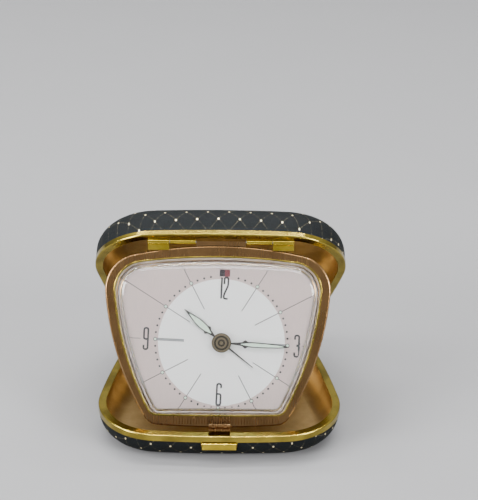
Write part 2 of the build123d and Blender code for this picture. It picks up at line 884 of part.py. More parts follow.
def balance_wheel():
    """Balance: rim, two spokes, staff and impulse disc."""
    rim = turned(balance_radius, balance_depth, wheel_thickness, balance_place, balance_radius - balance_rim)
    spoke_reach = balance_radius - balance_rim / 2
    spokes = bar(balance_place, spoke_reach, 0, pallet_arm_width, balance_depth, wheel_thickness)
    spokes = spokes + bar(balance_place, spoke_reach, 180, pallet_arm_width, balance_depth, wheel_thickness)
    hub = turned(arbor_radius + tube_wall, balance_depth, wheel_thickness, balance_place)
    return pivoted_arbor(balance_place) + rim + spokes + hub


def hairspring():
    """Flat spiral round the balance staff with its outer end in a post on the front plate."""
    inner = []
    outer = []
    start = pivot_radius + 2 * hairspring_width
    for step in range(hairspring_turns * hairspring_steps + 1):
        angle = 360 * step / hairspring_steps
        reach = start + hairspring_pitch * step / hairspring_steps
        inner.append(around(reach, angle))
        outer.append(around(reach + hairspring_width, angle))
    blank = make_face(Polyline(*inner, *reversed(outer), close=True))
    coil = Pos(balance_place[0], balance_place[1], -hairspring_depth) * extrude(blank, -wheel_thickness)
    post_reach = start + hairspring_pitch * hairspring_turns + hairspring_width
    post_place = (balance_place[0] + post_reach, balance_place[1])
    post = turned(arbor_radius, space_depth, hairspring_depth + wheel_thickness - space_depth, post_place)
    return coil + post


def barrel(place, teeth, phase):
    """Toothed spring drum that turns freely on its arbor."""
    bore = barrel_arbor_radius + running_gap
    drum_radius = pitch_radius(teeth, coarse_module) - dedendum_share * coarse_module
    rim = gear(teeth, coarse_module, barrel_depth, wheel_thickness, wheel_tooth_share, place, phase, bore)
    wall = turned(drum_radius, barrel_depth, barrel_height, place, drum_radius - barrel_wall)
    floor = turned(drum_radius, barrel_depth + barrel_height - wheel_thickness, wheel_thickness, place, bore)
    return rim + wall + floor


def mainspring(place, teeth):
    """Wound spring inside a drum, drawn as the block of its packed turns."""
    drum_radius = pitch_radius(teeth, coarse_module) - dedendum_share * coarse_module
    start = barrel_depth + wheel_thickness
    height = barrel_height - 2 * wheel_thickness
    bore = barrel_arbor_radius + 2 * running_gap
    return turned(drum_radius - barrel_wall, start, height, place, bore)


def winding_arbor(place):
    """Arbor of a drum with the ratchet wheel in front of the front plate."""
    arbor = turned(barrel_arbor_radius, ratchet_depth, knob_depth - ratchet_depth, place)
    points = []
    for tooth in range(ratchet_teeth):
        angle = tooth * 360 / ratchet_teeth
        points.append(around(ratchet_radius, angle))
        points.append(around(ratchet_radius * ratchet_root_share, angle))
    thickness = front_plate_depth - ratchet_depth - 2 * running_gap
    wheel = extrude(make_face(Polyline(*points, close=True)), -thickness)
    return arbor + Pos(place[0], place[1], -ratchet_depth) * wheel


def clicks():
    """Pawls that lie against the ratchet wheels."""
    thickness = front_plate_depth - ratchet_depth
    pawls = []
    for place in barrel_places:
        start = around(ratchet_radius + click_gap, -90, place)
        pawls.append(bar(start, click_length, -90, click_width, ratchet_depth, thickness))
    return gathered(pawls)


def winding_key(place):
    """Winged key on the outer end of a winding arbor."""
    wings = Rectangle(2 * key_half, key_width)
    plate = fillet(wings.vertices(), key_rounding)
    return Pos(place[0], place[1], -knob_depth) * extrude(plate, -knob_height)


def ribbed_knob(radius, place):
    """Round knob with a scalloped edge."""
    knob = turned(radius, knob_depth, knob_height, place)
    for rib in range(knob_ribs):
        groove = around(radius, rib * 360 / knob_ribs, place)
        knob = knob - turned(knob_rib_depth, knob_depth - overrun, knob_height + 2 * overrun, groove)
    return knob


def minute_arbor():
    """Centre arbor from the hub to the setting knob, with the cannon pinion."""
    front = dial_depth - minute_hand_rise - hand_thickness
    arbor = turned(centre_arbor_radius, front, knob_depth - front)
    tube_end = front_plate_depth
    tube = turned(cannon_radius, front + hand_thickness, tube_end - front - hand_thickness)
    pinion = gear(cannon_teeth, coarse_module, cannon_depth - pinion_margin, wheel_thickness + 2 * pinion_margin,
                  pinion_tooth_share, phase=meshing(cannon_teeth, minute_wheel_angle))
    return arbor + tube + pinion


def minute_wheel():
    """Minute wheel and pinion on the post of the front plate."""
    bore = arbor_radius + running_gap
    wheel = gear(minute_wheel_teeth, coarse_module, cannon_depth, wheel_thickness, wheel_tooth_share,
                 minute_wheel_place, minute_wheel_angle + 180, bore)
    top = hour_wheel_depth - pinion_margin
    pinion = gear(minute_pinion_leaves, hour_module, top, cannon_depth - top, pinion_tooth_share,
                  minute_wheel_place, meshing(minute_pinion_leaves, minute_wheel_angle + 180), bore)
    return wheel + pinion


def hour_wheel():
    """Hour wheel with the tube that carries the hour hand."""
    wheel = gear(hour_wheel_teeth, hour_module, hour_wheel_depth, wheel_thickness, wheel_tooth_share,
                 phase=minute_wheel_angle, bore=hour_bore)
    front = dial_depth - hour_hand_rise
    tube = turned(hour_tube_radius, front, hour_wheel_depth + wheel_thickness - front, bore=hour_bore)
    return wheel + tube


def alarm_wheel():
    """Alarm wheel with the tube that carries the alarm hand."""
    wheel = gear(alarm_wheel_teeth, coarse_module, alarm_wheel_depth, wheel_thickness, wheel_tooth_share,
                 phase=alarm_set_angle, bore=alarm_bore)
    front = dial_depth - alarm_hand_rise
    tube = turned(alarm_tube_radius, front, alarm_wheel_depth + wheel_thickness - front, bore=alarm_bore)
    return wheel + tube


def alarm_set_arbor():
    """Arbor and pinion that turn the alarm wheel from the back."""
    front = alarm_wheel_depth - pinion_margin
    arbor = turned(centre_arbor_radius, front, knob_depth - front, alarm_set_place)
    pinion = gear(alarm_pinion_leaves, coarse_module, front, wheel_thickness + 2 * pinion_margin,
                  pinion_tooth_share, alarm_set_place, meshing(alarm_pinion_leaves, alarm_set_angle + 180))
    return arbor + pinion


def leaf(shares, length, half):
    """Flat pointed shape along +Y, even on both sides."""
    right = [(side * half, reach * length) for reach, side in shares]
    left = [(-x, y) for x, y in reversed(right)]
    return make_face(Polyline(*right, *left, close=True))


def hand_outline(leaf_shares, barb_shares, length, half):
    """Lance with a swept-back barb on each side of its foot and a stem under the hub."""
    outline = leaf(leaf_shares, length, half) + leaf(((0, stem_half / half), leaf_shares[0]), length, half)
    barb = [(side * half, reach * length) for reach, side in barb_shares]
    barb.append((0, barb_shares[1][0] * length))
    for side in (-1, 1):
        outline = outline + make_face(Polyline(*[(side * x, y) for x, y in barb], close=True))
    return outline


def at_hand(shape, rise, clock_angle):
    """Hand or filling at its height and clock angle on the tilted dial."""
    return Rot(0, 0, -clock_angle - dial_tilt) * Pos(0, 0, rise - dial_depth) * extrude(shape, hand_thickness)


def hour_hand():
    blank = hand_outline(hour_leaf_shares, hour_barb_shares, hour_hand_length, hour_leaf_half)
    blank = blank + Circle(boss_radius) - Circle(hour_bore)
    blank = blank - leaf(hour_lume_shares, hour_hand_length, hour_leaf_half)
    return at_hand(blank, hour_hand_rise, hour_hand_angle)


def hour_hand_lume():
    filling = leaf(hour_lume_shares, hour_hand_length, hour_leaf_half)
    return at_hand(filling, hour_hand_rise, hour_hand_angle)


def minute_hand():
    blank = hand_outline(minute_leaf_shares, minute_barb_shares, minute_hand_length, minute_leaf_half)
    blank = blank + Circle(boss_radius) - Circle(centre_arbor_radius)
    blank = blank - leaf(minute_lume_shares, minute_hand_length, minute_leaf_half)
    return at_hand(blank, minute_hand_rise, minute_hand_angle)


def minute_hand_lume():
    filling = leaf(minute_lume_shares, minute_hand_length, minute_leaf_half)
    return at_hand(filling, minute_hand_rise, minute_hand_angle)


def alarm_hand():
    """Plain tapering pointer."""
    blank = make_face(Polyline((alarm_hand_half, 0), (tip_half, alarm_hand_length), (-tip_half, alarm_hand_length),
                               (-alarm_hand_half, 0), close=True))
    blank = blank + Circle(boss_radius) - Circle(alarm_bore)
    return at_hand(blank, alarm_hand_rise, alarm_hand_angle)


def hub_cap():
    """Stepped round cap over the roots of the hands."""
    start = minute_hand_rise + hand_thickness - dial_depth
    cap = Pos(0, 0, start) * extrude(Circle(hub_radius), hub_height / 2)
    step = Pos(0, 0, start + hub_height / 2) * extrude(Circle(hub_radius * hub_step_share), hub_height / 2)
    cap = cap + step
    return fillet(cap.faces().sort_by(Axis.Z)[-1].edges(), hub_rounding)


def alarm_hammer():
    """Hammer with its head and the tail that the alarm drum trips."""
    head_place = around(hammer_reach, hammer_angle, hammer_place)
    arm = bar(hammer_place, hammer_reach, hammer_angle, hammer_width, fourth_wheel_depth, wheel_thickness)
    tail = bar(hammer_place, hammer_tail, hammer_tail_angle, hammer_width, fourth_wheel_depth, wheel_thickness)
    head = turned(hammer_head_radius, fourth_wheel_depth - wheel_thickness, 3 * wheel_thickness, head_place)
    return pivoted_arbor(hammer_place) + arm + tail + head


def stop_lever():
    """Arbor of the alarm stop with its lever on the back."""
    arbor = turned(stop_arbor_radius, flag_depth, knob_depth - flag_depth, stop_place)
    lever = bar(stop_place, stop_lever_length, 90, flag_arm_width, knob_depth, stop_lever_thickness)
    return arbor + lever + turned(flag_arm_width, knob_depth, stop_lever_thickness, stop_place)


def alarm_flag():
    """Two-colour flag behind the window of the dial, on its arm."""
    reach = flag_window_reach - stop_reach
    arm = bar(stop_place, reach, 90 - dial_tilt, flag_arm_width, flag_depth, flag_thickness)
    plate = Pos(*on_dial(flag_window_reach, 0), -flag_depth) * Rot(0, 0, -dial_tilt) * extrude(
        Rectangle(flag_width, flag_height), -flag_thickness)
    bore = turned(stop_arbor_radius, flag_depth - overrun, flag_thickness + 2 * overrun, stop_place)
    boss = turned(stop_arbor_radius + tube_wall, flag_depth, flag_thickness, stop_place)
    return arm + plate + boss - bore


# Clock hinge

def shell_tabs():
    """Two knuckles of the upper shell on tabs behind its flange, drawn in the closed shell."""
    parts = []
    for side in (-1, 1):
        start = min(side * shell_knuckle_start, side * shell_knuckle_end)
        end = start + shell_knuckle_end - shell_knuckle_start
        tube = along_x(clock_knuckle_radius, start, end, clock_pin_radius + running_gap)
        tube = Pos(0, -clock_hinge_reach, 0) * tube
        tab_front = front_reach - wall_thickness - tab_thickness
        tab_back = clock_hinge_reach + clock_pin_radius
        tab = Pos((start + end) / 2, -(tab_front + tab_back) / 2, flange_thickness + tab_thickness / 2) * Box(
            end - start, tab_front - tab_back, tab_thickness)
        bore = Pos(0, -clock_hinge_reach, 0) * along_x(clock_pin_radius + running_gap, start, end)
        parts.append(tube + (tab - bore))
    return gathered(parts)


def clock_pins():
    """Pins through the knuckles and the rolled brackets."""
    return gathered([
        along_x(clock_pin_radius, -bracket_end, -strap_half),
        along_x(clock_pin_radius, strap_half, bracket_end),
    ])


def clock_bracket(side):
    """Hinge plate on the face of the bezel, rolled round the pin."""
    start = min(side * bracket_start, side * bracket_end)
    end = start + bracket_end - bracket_start
    roll = along_x(bracket_roll_radius, start, end, clock_pin_radius)
    leaf = Pos((start + end) / 2, -bracket_leaf_drop / 2, bracket_leaf / 2) * Box(
        end - start, bracket_leaf_drop, bracket_leaf)
    return roll + (leaf - along_x(clock_pin_radius, start, end)) - extrude(outer_edge(), -bezel_depth)


def bracket_rivets():
    """Two rivet heads on each hinge plate."""
    rivets = []
    for x in (bracket_start + bracket_rivet_inset, bracket_end - bracket_rivet_inset):
        for side in (-1, 1):
            head = extrude(Circle(bracket_rivet_radius), bracket_rivet_height)
            rivets.append(Pos(side * x, -bracket_rivet_drop, bracket_leaf) * head)
    return gathered(rivets)


def clock_strap():
    """Flat tongue of the case between the knuckles."""
    drop = bezel_hinge_gap + flute_start
    strap = Pos(0, (strap_rise - drop) / 2, -strap_thickness / 2) * Box(
        2 * strap_half, strap_rise + drop, strap_thickness)
    dot = extrude(Circle(strap_dot_radius), bracket_rivet_height)
    dot = Pos(0, (strap_rise - bezel_hinge_gap) / 2, 0) * dot
    return strap - extrude(outer_edge(), -bezel_depth) + dot


# Placing and writing

def place_lower(shape):
    return Pos(0, hinge_y, hinge_z) * shape


def place_upper(shape):
    return Pos(0, hinge_y, hinge_z) * Rot(-fold_angle, 0, 0) * shape


def place_clock(shape):
    y = hinge_y - clock_hinge_reach * cos(radians(fold_angle))
    z = hinge_z + clock_hinge_reach * sin(radians(fold_angle))
    return Pos(0, y, z) * Rot(90 - clock_lean, 0, 0) * shape


lower_nodes = {
    "lower_cover": turned_down(shell_cover(lower_plan, lower_depth, lower_rim_band)) - latch_slot(),
    "lower_pan": turned_down(shell_pan(lower_plan, lower_depth)) - latch_slot(),
    "lower_rim": turned_down(shell_rim(lower_plan, lower_rim_band)),
    "lower_hinge_leaves": rear_knuckles(-1, 0),
    "rear_hinge_pins": rear_pins(),
    "latch_button": latch_button(),
    "latch_hook": latch_hook(),
    "latch_spring": latch_spring(),
}
upper_nodes = {
    "upper_cover": shell_cover(upper_plan, upper_depth, upper_rim_band),
    "upper_pan": shell_pan(upper_plan, upper_depth),
    "upper_rim": shell_rim(upper_plan, upper_rim_band),
    "upper_hinge_leaves": rear_knuckles(1, 1),
    "upper_hinge_tabs": shell_tabs(),
}
case_nodes = {
    "bezel": bezel(),
    "bezel_lip": bezel_lip(),
    "bezel_flutes": bezel_flutes(),
    "crystal": crystal(),
    "dial": dial(),
    "case_pan": case_pan(),
    "clock_hinge_pins": clock_pins(),
    "clock_brackets": gathered([clock_bracket(-1), clock_bracket(1)]),
    "clock_bracket_rivets": bracket_rivets(),
    "clock_strap": clock_strap(),
}
movement_nodes = {
    "front_plate": front_plate(),
    "back_plate": back_plate(),
    "plate_pillars": pillars(),
    "plate_screws": plate_screws(),
    "back_cover": back_cover(),
    "back_screws": back_screws(),
    "hairspring": hairspring(),
    "ratchet_clicks": clicks(),
    "centre_wheel": centre_wheel(),
    "third_wheel": third_wheel(),
    "fourth_wheel": fourth_wheel(),
    "escape_wheel": escape_wheel(),
    "pallet_fork": pallet_fork(),
    "balance_wheel": balance_wheel(),
    "time_barrel": barrel(barrel_place, barrel_teeth, barrel_angle + 180),
    "time_mainspring": mainspring(barrel_place, barrel_teeth),
    "time_winding_arbor": winding_arbor(barrel_place),
    "time_key": winding_key(barrel_place),
    "alarm_barrel": barrel(alarm_barrel_place, alarm_barrel_teeth, 0),
    "alarm_mainspring": mainspring(alarm_barrel_place, alarm_barrel_teeth),
    "alarm_winding_arbor": winding_arbor(alarm_barrel_place),
    "alarm_key": winding_key(alarm_barrel_place),
    "minute_arbor": minute_arbor(),
    "minute_hand": minute_hand(),
    "minute_hand_lume": minute_hand_lume(),
    "hub_cap": hub_cap(),
    "time_knob": ribbed_knob(time_knob_radius, (0, 0)),
    "minute_wheel": minute_wheel(),
    "hour_wheel": hour_wheel(),
    "hour_hand": hour_hand(),
    "hour_hand_lume": hour_hand_lume(),
    "alarm_wheel": alarm_wheel(),
    "alarm_hand": alarm_hand(),
    "alarm_knob": alarm_set_arbor() + ribbed_knob(alarm_knob_radius, alarm_set_place),
    "alarm_hammer": alarm_hammer(),
    "alarm_flag": alarm_flag(),
    "alarm_stop_lever": stop_lever(),
}

nodes = {}
for name, shape in lower_nodes.items():
    nodes[name] = place_lower(shape)
for name, shape in upper_nodes.items():
    nodes[name] = place_upper(shape)
for name, shape in case_nodes.items():
    nodes[name] = place_clock(shape)
for name, shape in movement_nodes.items():
    nodes[name] = place_clock(in_movement(shape))

os.makedirs("parts", exist_ok=True)
for name, shape in nodes.items():
    export_step(shape, "parts/" + name + ".step")
print(len(nodes), "nodes written")
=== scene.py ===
import json
import math

import bmesh
import bpy
from mathutils import Matrix, Vector
from mathutils.geometry import convex_hull_2d


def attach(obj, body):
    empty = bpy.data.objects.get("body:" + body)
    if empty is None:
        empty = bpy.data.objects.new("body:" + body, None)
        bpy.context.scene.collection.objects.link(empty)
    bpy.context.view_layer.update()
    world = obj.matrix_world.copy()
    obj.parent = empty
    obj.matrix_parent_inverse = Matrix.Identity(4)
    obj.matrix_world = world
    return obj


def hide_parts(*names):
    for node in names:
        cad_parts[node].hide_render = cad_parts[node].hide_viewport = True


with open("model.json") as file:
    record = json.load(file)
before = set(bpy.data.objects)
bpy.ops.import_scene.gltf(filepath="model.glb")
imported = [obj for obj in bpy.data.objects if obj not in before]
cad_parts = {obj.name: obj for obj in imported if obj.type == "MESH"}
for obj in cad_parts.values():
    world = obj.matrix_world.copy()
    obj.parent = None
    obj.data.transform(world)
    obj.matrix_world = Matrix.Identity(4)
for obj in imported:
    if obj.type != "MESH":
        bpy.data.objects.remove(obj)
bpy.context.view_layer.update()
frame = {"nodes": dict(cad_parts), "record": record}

# Folding travel alarm clock: finishes, the crystal's rounding, dial print, light and camera.
# Lengths are millimetres until a shape is placed, and metres from there on.
MM = 0.001

# Hinge line of the shells, the upper shell's angle, and the dial seen from the clock's pivot
HINGE_Y, HINGE_Z = 40.75, 12.5
FOLD = math.radians(57.9)
PIVOT = Vector((0, 1.0011, 75.8646))
DIAL_TURN = math.radians(64)
DIAL_AXIS = (0, -math.sin(DIAL_TURN), math.cos(DIAL_TURN))
DIAL_DROP = 39.201
DIAL_SHIFT = 0.5
DIAL_TILT = 2.4
DIAL_FACE = -1.8

# Print of the covering: distances over which lines and dots fade out, the weakest and the strongest
# line, the rows' spacing as a share of the columns', and what keeps the slope from being nothing
LINE_EDGE = (0.04, 0.12)
DOT_EDGE = (0.30, 0.42)
LINE_STRENGTH = (0.01, 0.14)
ROW_SQUEEZE = 0.74
LEAST_SLOPE = 0.001

# Where the flag turns from dark to red, how fast the hub's rings follow each other in radians per
# millimetre, and the slopes between which the crystal goes from the painted grey shade on its walls to clear
FLAG_BORDER = (1.5, 1.8)
HUB_RINGS = 4.4
PAINTED_SHADE_FACING = (0.3, 0.95)

clock_place = Matrix.Scale(MM, 4) @ Matrix.Translation(PIVOT) @ Matrix.Rotation(DIAL_TURN, 4, "X")
dial_place = clock_place @ Matrix.Translation((DIAL_SHIFT, -DIAL_DROP, DIAL_FACE))
nodes = frame["nodes"]


# Materials

class Finish:
    """A material whose nodes are wired by short calls; places are in millimetres."""

    def __init__(self, name, color, metallic=0.0, roughness=0.5):
        self.material = bpy.data.materials.new(name)
        self.material.use_nodes = True
        self.tree = self.material.node_tree
        self.shader = self.tree.nodes["Principled BSDF"]
        self.set("Base Color", (*color, 1))
        self.set("Metallic", metallic)
        self.set("Roughness", roughness)
        source = self.tree.nodes.new("ShaderNodeTexCoord")
        self.normal = source.outputs["Normal"]
        self.place = self.vector("SCALE", source.outputs["Object"], scale=1 / MM)

    def set(self, socket, value):
        self.feed(self.shader.inputs[socket], value)

    def feed(self, socket, value):
        if isinstance(value, bpy.types.NodeSocket):
            self.tree.links.new(value, socket)
        else:
            socket.default_value = value

    def math(self, operation, first, second=0.0):
        node = self.tree.nodes.new("ShaderNodeMath")
        node.operation = operation
        self.feed(node.inputs[0], first)
        self.feed(node.inputs[1], second)
        return node.outputs[0]

    def vector(self, operation, first, second=None, scale=None):
        node = self.tree.nodes.new("ShaderNodeVectorMath")
        node.operation = operation
        self.feed(node.inputs[0], first)
        if second is not None:
            self.feed(node.inputs[1], second)
        if scale is not None:
            node.inputs["Scale"].default_value = scale
        return node.outputs["Value"] if operation == "DOT_PRODUCT" else node.outputs["Vector"]

    def part_of(self, vector, axis):
        node = self.tree.nodes.new("ShaderNodeSeparateXYZ")
        self.feed(node.inputs[0], vector)
        return node.outputs[axis]

    def noise(self, scale, detail, stretch=(1, 1, 1)):
        node = self.tree.nodes.new("ShaderNodeTexNoise")
        node.inputs["Scale"].default_value = scale
        node.inputs["Detail"].default_value = detail
        self.feed(node.inputs["Vector"], self.vector("MULTIPLY", self.place, stretch))
        return node.outputs["Fac"]

    def cells(self, scale):
        node = self.tree.nodes.new("ShaderNodeTexVoronoi")
        node.feature = "SMOOTH_F1"
        node.inputs["Scale"].default_value = scale
        self.feed(node.inputs["Vector"], self.place)
        return node.outputs["Distance"]

    def span(self, value, low, high, start=0.0, end=1.0):
        """Maps low..high smoothly to start..end."""
        node = self.tree.nodes.new("ShaderNodeMapRange")
        node.interpolation_type = "SMOOTHSTEP"
        for index, entry in enumerate((value, low, high, start, end)):
            self.feed(node.inputs[index], entry)
        return node.outputs[0]

    def blend(self, factor, first, second):
        node = self.tree.nodes.new("ShaderNodeMix")
        node.data_type = "RGBA"
        self.feed(node.inputs["Factor"], factor)
        for socket, value in ((node.inputs[6], first), (node.inputs[7], second)):
            self.feed(socket, value if isinstance(value, bpy.types.NodeSocket) else (*value, 1))
        return node.outputs[2]

    def bump(self, height, strength, depth):
        """Raises the surface by a height in millimetres."""
        node = self.tree.nodes.new("ShaderNodeBump")
        node.inputs["Strength"].default_value = strength
        node.inputs["Distance"].default_value = depth * MM
        self.feed(node.inputs["Height"], height)
        self.set("Normal", node.outputs[0])


def metal(name, bright, dull, rough, stretch=(1, 1, 1), grain=2.0):
    """Metal with cloudy tarnish and fine wear, whose grain can be drawn out."""
    finish = Finish(name, bright, metallic=1.0)
    cloud = finish.span(finish.noise(0.12, 4), 0.35, 0.7)
    fine = finish.noise(grain, 4, stretch)
    finish.set("Base Color", finish.blend(cloud, bright, dull))
    tarnish = finish.math("ADD", finish.math("MULTIPLY", cloud, 0.5), fine)
    finish.set("Roughness", finish.span(tarnish, 0.3, 1.1, *rough))
    finish.bump(fine, 0.3, 0.02)
    return finish


def leatherette(name, along, out, depth, pitch, shift, side_shift, kept_row):
    """Black grained covering with faint gold diamond lines and a gold dot at each crossing.

    The pattern is laid from the hinge line along a direction and unrolled over the sides by the depth
    under the outer face. The kept row is the one that stays where it is as the rows close up.
    """
    finish = Finish(name, (0.02, 0.022, 0.024), roughness=0.6)
    local = finish.vector("SUBTRACT", finish.place, (0, HINGE_Y, HINGE_Z))
    x = finish.math("SUBTRACT", finish.part_of(local, 0), side_shift)
    run = finish.vector("DOT_PRODUCT", local, along)
    drop = finish.math("SUBTRACT", depth, finish.vector("DOT_PRODUCT", local, out))
    lean_x = finish.part_of(finish.normal, 0)
    lean_run = finish.vector("DOT_PRODUCT", finish.normal, along)
    total = finish.math("ADD", finish.math("ABSOLUTE", lean_x), finish.math("ABSOLUTE", lean_run))
    share = finish.math("DIVIDE", drop, finish.math("ADD", total, LEAST_SLOPE))
    across = finish.math("ADD", x, finish.math("MULTIPLY", share, lean_x))
    along_run = finish.math("ADD", run, shift - kept_row)
    down = finish.math("ADD", along_run, finish.math("MULTIPLY", share, lean_run))
    down = finish.math("ADD", finish.math("MULTIPLY", down, ROW_SQUEEZE), kept_row)
    gaps = []
    for operation in ("ADD", "SUBTRACT"):
        count = finish.math("DIVIDE", finish.math(operation, across, down), pitch)
        offset = finish.math("SUBTRACT", finish.math("FRACT", finish.math("ADD", count, 0.5)), 0.5)
        gaps.append(finish.math("MULTIPLY", finish.math("ABSOLUTE", offset), pitch / math.sqrt(2)))
    nearest = finish.math("MINIMUM", *gaps)
    squares = [finish.math("POWER", gap, 2) for gap in gaps]
    centre = finish.math("SQRT", finish.math("ADD", *squares))
    worn = finish.noise(1.6, 3)
    strength = finish.span(worn, 0.42, 0.70, *LINE_STRENGTH)
    line = finish.math("MULTIPLY", finish.span(nearest, *LINE_EDGE, 1, 0), strength)
    dot = finish.span(centre, *DOT_EDGE, 1, 0)
    foil = finish.math("MAXIMUM", line, dot)
    grain = finish.cells(2.6)
    speckle = finish.span(finish.noise(5.0, 2), 0.4, 0.7)
    black = finish.blend(speckle, (0.0025, 0.003, 0.003), (0.012, 0.014, 0.0145))
    black = finish.blend(finish.span(grain, 0.1, 0.7), black, (0.006, 0.007, 0.0075))
    finish.set("Base Color", finish.blend(foil, black, (0.72, 0.62, 0.38)))
    finish.set("Specular IOR Level", 0.05)
    finish.set("Metallic", finish.math("MULTIPLY", foil, 0.75))
    finish.set("Roughness", finish.span(foil, 0, 1, 0.62, 0.34))
    ridge = finish.math("SUBTRACT", finish.math("ADD", grain, finish.math("MULTIPLY", speckle, 0.5)),
                        finish.math("MULTIPLY", line, 0.6))
    finish.bump(ridge, 0.7, 0.09)
    return finish


def silvered_dial():
    """Pinkish silver with an upright brushed grain."""
    finish = Finish("dial_silver", (0.83, 0.73, 0.71), metallic=0.2, roughness=0.42)
    upright = finish.noise(6.0, 5, (1, 0.05, 0.05))
    finish.set("Base Color", finish.blend(upright, (0.55, 0.44, 0.415), (0.72, 0.585, 0.555)))
    finish.set("Roughness", finish.span(upright, 0.2, 0.8, 0.34, 0.5))
    finish.bump(upright, 0.15, 0.01)
    return finish


def paper_white():
    finish = Finish("dial_white", (0.80, 0.80, 0.79), metallic=0.1, roughness=0.5)
    faint = finish.noise(3.0, 5, (1, 0.3, 0.3))
    finish.set("Base Color", finish.blend(faint, (0.94, 0.94, 0.93), (0.99, 0.99, 0.98)))
    finish.bump(faint, 0.08, 0.01)
    return finish


def ink(name, color):
    finish = Finish(name, color, roughness=0.55)
    speck = finish.noise(8.0, 3)
    paler = tuple(1.5 * part + 0.01 for part in color)
    finish.set("Base Color", finish.blend(speck, color, paler))
    finish.bump(speck, 0.1, 0.01)
    return finish


def lume():
    finish = Finish("lume", (0.66, 0.85, 0.70), roughness=0.75)
    grit = finish.noise(9.0, 4)
    finish.set("Base Color", finish.blend(grit, (0.60, 0.80, 0.64), (0.80, 0.93, 0.80)))
    finish.bump(grit, 0.5, 0.03)
    return finish


def clear_dome():
    """Old acrylic: clear, with faint dust, and painted grey shade where the walls turn from the front."""
    finish = Finish("crystal", (0.98, 0.985, 0.985), roughness=0.02)
    dust = finish.noise(1.2, 5)
    finish.set("Roughness", finish.span(dust, 0.45, 0.8, 0.015, 0.09))
    # Painted shade: the walls are coloured grey-green as they turn away from the front, and the front stays
    # clear.
    facing = finish.math("ABSOLUTE", finish.vector("DOT_PRODUCT", finish.normal, DIAL_AXIS))
    front = finish.span(facing, *PAINTED_SHADE_FACING)
    finish.set("Base Color", finish.blend(front, (0.74, 0.78, 0.75), (0.985, 0.99, 0.99)))
    finish.shader.inputs["Transmission Weight"].default_value = 1.0
    finish.shader.inputs["IOR"].default_value = 1.47
    finish.bump(finish.noise(0.8, 2), 0.03, 0.02)
    return finish


def flag_paint():
    """Dark paint on the left of the flag and dark red on the right."""
    finish = Finish("flag_paint", (0.2, 0.02, 0.02), roughness=0.45)
    side = finish.span(finish.part_of(finish.place, 0), *FLAG_BORDER)
    color = finish.blend(side, (0.015, 0.012, 0.02), (0.20, 0.02, 0.03))
    wear = finish.noise(3.0, 4)
    finish.set("Base Color", finish.blend(finish.math("MULTIPLY", wear, 0.3), color, (0.10, 0.06, 0.07)))
    finish.bump(wear, 0.1, 0.01)
    return finish


def hub_bronze():
    """Bronze turned in fine rings round the dial's centre."""
    finish = metal("hub_bronze", (0.20, 0.155, 0.09), (0.10, 0.08, 0.045), (0.28, 0.5))
    local = finish.vector("SUBTRACT", finish.place, tuple(dial_place.translation / MM))
    flat = finish.vector("CROSS_PRODUCT", local, DIAL_AXIS)
    radius = finish.math("SQRT", finish.vector("DOT_PRODUCT", flat, flat))
    rings = finish.math("SINE", finish.math("MULTIPLY", radius, HUB_RINGS))
    crest = finish.span(rings, -0.6, 0.6)
    finish.set("Base Color", finish.blend(crest, (0.05, 0.042, 0.028), (0.24, 0.19, 0.115)))
    finish.bump(finish.math("ADD", rings, finish.noise(6.0, 3)), 0.5, 0.04)
    return finish


cosine, sine = math.cos(FOLD), math.sin(FOLD)
finishes = {
    "lower_leatherette": leatherette("lower_leatherette", (0, -1, 0), (0, 0, -1), depth=12.5, pitch=8.1,
                                     shift=2.9, side_shift=5.15, kept_row=89.1),
    "upper_leatherette": leatherette("upper_leatherette", (0, -cosine, sine), (0, sine, cosine), depth=15.5,
                                     pitch=8.4, shift=0.3, side_shift=3.1, kept_row=88.2),
    "rim_brass": metal("rim_brass", (0.40, 0.30, 0.05), (0.22, 0.165, 0.028), (0.12, 0.24), grain=3.0),
    "lining_brass": metal("lining_brass", (0.44, 0.31, 0.14), (0.33, 0.225, 0.095), (0.38, 0.54)),
    "bezel_bronze": metal("bezel_bronze", (0.30, 0.17, 0.07), (0.18, 0.10, 0.042), (0.17, 0.30),
                          (1, 0.08, 0.08)),
    "hinge_brass": metal("hinge_brass", (0.66, 0.48, 0.05), (0.42, 0.30, 0.03), (0.12, 0.24)),
    "movement_brass": metal("movement_brass", (0.62, 0.50, 0.25), (0.45, 0.35, 0.17), (0.2, 0.4), grain=4.0),
    "steel": metal("steel", (0.50, 0.51, 0.53), (0.33, 0.33, 0.35), (0.18, 0.36), grain=4.0),
    "hand_dark": ink("hand_dark", (0.012, 0.010, 0.008)),
    "print_grey": ink("print_grey", (0.03, 0.03, 0.031)),
    "bar_grey": ink("bar_grey", (0.22, 0.23, 0.24)),
    "print_black": ink("print_black", (0.008, 0.008, 0.0085)),
    "hub_bronze": hub_bronze(),
    "lume": lume(),
    "crystal": clear_dome(),
    "flag_red": flag_paint(),
    "dial_face": silvered_dial(),
    "dial_white": paper_white(),
}

# Pieces whose finish isn't the one of their slot
OWN_FINISH = {"lower_cover": "lower_leatherette", "upper_cover": "upper_leatherette",
              "latch_hook": "bezel_bronze", "latch_button": "hinge_brass"}
for part in frame["record"]["subparts"]:
    finish = finishes[OWN_FINISH.get(part["node"], part["material_slot"])]
    slots = nodes[part["node"]].data.materials
    slots.clear()
    slots.append(finish.material)


# Crystal: the solid's own outline with the deep rounding that the photograph's reflections show.
# Heights between which the solid's wall is read, how far outside that outline the new wall stands,
# the height of the seat, and the insets of the two rings of the crown.

WALL_HEIGHTS = (4.0, 6.4)
WALL_OUTSET = 0.75
SEAT_HEIGHT = -0.8
CROWN_INSETS = (12.0, 22.0)


